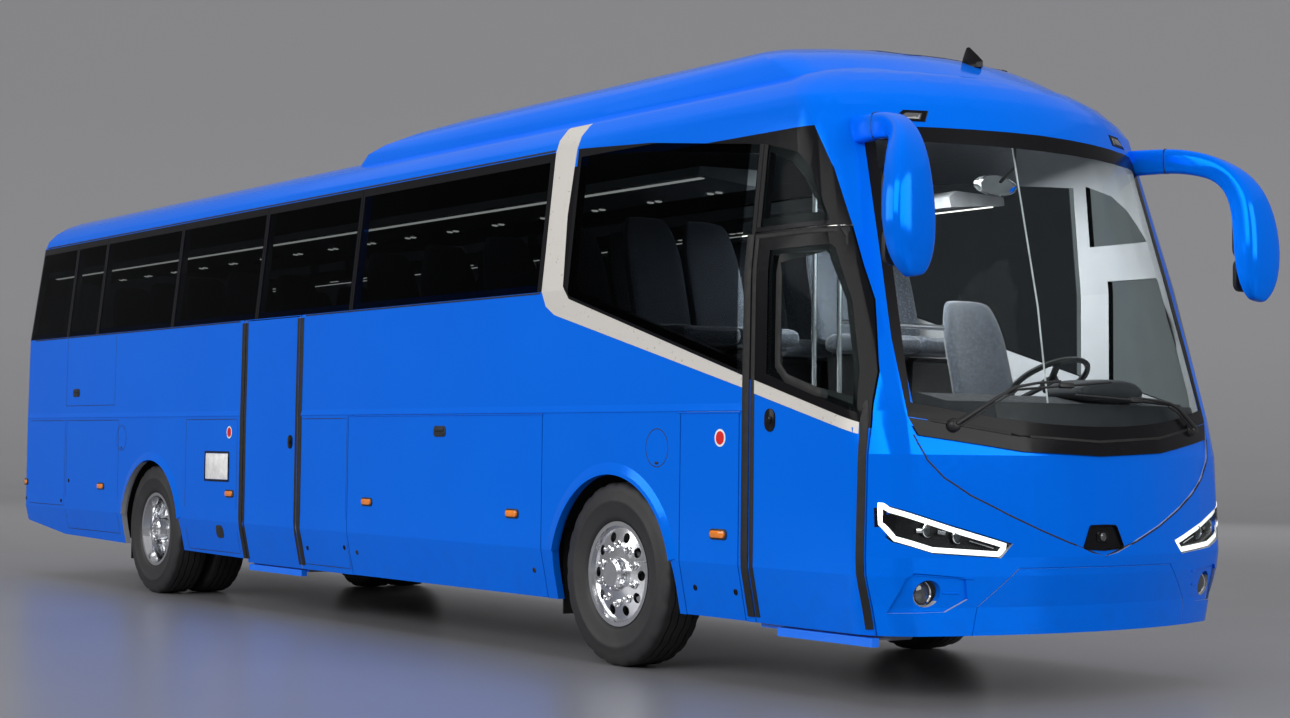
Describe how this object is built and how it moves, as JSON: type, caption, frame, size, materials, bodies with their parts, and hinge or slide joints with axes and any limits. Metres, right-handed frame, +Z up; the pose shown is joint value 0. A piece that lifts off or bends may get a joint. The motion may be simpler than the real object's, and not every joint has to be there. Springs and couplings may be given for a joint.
{
  "type": "coach bus",
  "caption": "High-deck touring coach with steered front wheels, twin rear wheels, swinging doors, luggage flaps and an engine lid.",
  "frame": {"origin": "on the ground under the middle of the overall length and width", "axes": "+X towards the front of the coach, +Y towards its left side, +Z up"},
  "size_m": [12.44, 2.812, 3.545],
  "materials": {
    "body_paint": "glossy azure paint",
    "silver_paint": "satin silver paint",
    "tinted_glass": "dark tinted glass",
    "clear_glass": "clear laminated glass",
    "black_trim": "gloss black",
    "rubber": "black rubber",
    "tyre": "black tyre rubber",
    "alloy": "polished forged wheel",
    "frame_steel": "black chassis paint",
    "cast_parts": "grey cast iron",
    "floor": "grey floor covering on boards",
    "interior": "grey moulded trim",
    "seat_cloth": "dark blue grey seat cloth",
    "lamp_parts": "black lamp housing",
    "red_lamp": "red lamp lens"
  },
  "bodies": {
    "coach": {"side_wall_right": "body_paint", "side_wall_left": "body_paint", "front_mask": "body_paint", "front_bumper": "body_paint", "rear_wall": "body_paint", "roof_shell": "body_paint", "front_dome": "body_paint", "roof_unit": "body_paint", "mirrors": "body_paint", "accent_bands": "silver_paint", "side_glass": "tinted_glass", "rear_window": "tinted_glass", "windscreen": "clear_glass", "headlamp_lenses": "clear_glass", "wiper_cowl": "black_trim", "wipers": "black_trim", "mud_flaps": "rubber", "chassis_frame": "frame_steel", "wheel_housings": "frame_steel", "hold_tub": "frame_steel", "engine_block": "cast_parts", "front_axle": "cast_parts", "rear_axle": "cast_parts", "floor_deck": "floor", "entry_steps": "floor", "dashboard": "interior", "overhead_racks": "interior", "passenger_seats": "seat_cloth", "driver_seat": "seat_cloth", "front_lamps": "lamp_parts", "tail_lamps": "red_lamp"},
    "wheel_front_right": {"wheel_front_right": "alloy", "tyre_front_right": "tyre"},
    "wheel_front_left": {"wheel_front_left": "alloy", "tyre_front_left": "tyre"},
    "wheels_rear_right": {"wheel_rear_right": "alloy", "tyres_rear_right": "tyre"},
    "wheels_rear_left": {"wheel_rear_left": "alloy", "tyres_rear_left": "tyre"},
    "knuckle_right": {"knuckle_right": "cast_parts"},
    "knuckle_left": {"knuckle_left": "cast_parts"},
    "steering_wheel": {"steering_wheel": "interior"},
    "front_door_arm": {"front_door_arm": "frame_steel"},
    "front_door": {"front_door": "body_paint", "front_door_glass": "tinted_glass"},
    "mid_door_arm": {"mid_door_arm": "frame_steel"},
    "mid_door": {"mid_door": "body_paint"},
    "luggage_flap_right": {"luggage_flap_right": "body_paint"},
    "luggage_flap_left": {"luggage_flap_left": "body_paint"},
    "locker_flap": {"locker_flap": "body_paint"},
    "engine_lid": {"engine_lid": "body_paint"}
  },
  "joints": [
    {"name": "steer_right", "type": "hinge", "parent": "coach", "child": "knuckle_right", "pos_m": [3.635, -0.94, 0.522], "axis": [0, 0, 1], "range_deg": [-45, 45]},
    {"name": "steer_left", "type": "hinge", "parent": "coach", "child": "knuckle_left", "pos_m": [3.635, 0.94, 0.522], "axis": [0, 0, 1], "range_deg": [-45, 45]},
    {"name": "turn_steering_wheel", "type": "hinge", "parent": "coach", "child": "steering_wheel", "pos_m": [5.13, 0.7, 1.64], "axis": [-0.5201, 0, 0.8541], "range_deg": [-810, 810]},
    {"name": "roll_front_right", "type": "hinge", "parent": "knuckle_right", "child": "wheel_front_right", "pos_m": [3.635, -1.098, 0.522], "axis": [0, 1, 0], "continuous": true},
    {"name": "roll_front_left", "type": "hinge", "parent": "knuckle_left", "child": "wheel_front_left", "pos_m": [3.635, 1.098, 0.522], "axis": [0, 1, 0], "continuous": true},
    {"name": "roll_rear_right", "type": "hinge", "parent": "coach", "child": "wheels_rear_right", "pos_m": [-3.065, -1.098, 0.522], "axis": [0, 1, 0], "continuous": true},
    {"name": "roll_rear_left", "type": "hinge", "parent": "coach", "child": "wheels_rear_left", "pos_m": [-3.065, 1.098, 0.522], "axis": [0, 1, 0], "continuous": true},
    {"name": "swing_front_door_arm", "type": "hinge", "parent": "coach", "child": "front_door_arm", "pos_m": [5.67, -1.135, 0.8], "axis": [0, 0, 1], "range_deg": [0, 125]},
    {"name": "carry_front_door", "type": "hinge", "parent": "front_door_arm", "child": "front_door", "pos_m": [5.27, -1.12, 0.8], "axis": [0, 0, 1], "range_deg": [-125, 0]},
    {"name": "swing_mid_door_arm", "type": "hinge", "parent": "coach", "child": "mid_door_arm", "pos_m": [-0.51, -1.135, 0.8], "axis": [0, 0, 1], "range_deg": [0, 125]},
    {"name": "carry_mid_door", "type": "hinge", "parent": "mid_door_arm", "child": "mid_door", "pos_m": [-0.91, -1.12, 0.8], "axis": [0, 0, 1], "range_deg": [-125, 0]},
    {"name": "lift_luggage_flap_right", "type": "hinge", "parent": "coach", "child": "luggage_flap_right", "pos_m": [1.67, -1.275, 1.4315], "axis": [-1, 0, 0], "range_deg": [0, 95]},
    {"name": "lift_luggage_flap_left", "type": "hinge", "parent": "coach", "child": "luggage_flap_left", "pos_m": [1.67, 1.275, 1.4315], "axis": [1, 0, 0], "range_deg": [0, 95]},
    {"name": "lift_locker_flap", "type": "hinge", "parent": "coach", "child": "locker_flap", "pos_m": [4.572, -1.275, 1.4315], "axis": [-1, 0, 0], "range_deg": [0, 95]},
    {"name": "lift_engine_lid", "type": "hinge", "parent": "coach", "child": "engine_lid", "pos_m": [-6.219, 0, 1.53], "axis": [0, 1, 0], "range_deg": [0, 75]}
  ],
  "couplings": [
    {"joint": "steer_left", "follows": "steer_right", "ratio": 1},
    {"joint": "turn_steering_wheel", "follows": "steer_right", "ratio": 18},
    {"joint": "carry_front_door", "follows": "swing_front_door_arm", "ratio": -1},
    {"joint": "carry_mid_door", "follows": "swing_mid_door_arm", "ratio": -1}
  ]
}
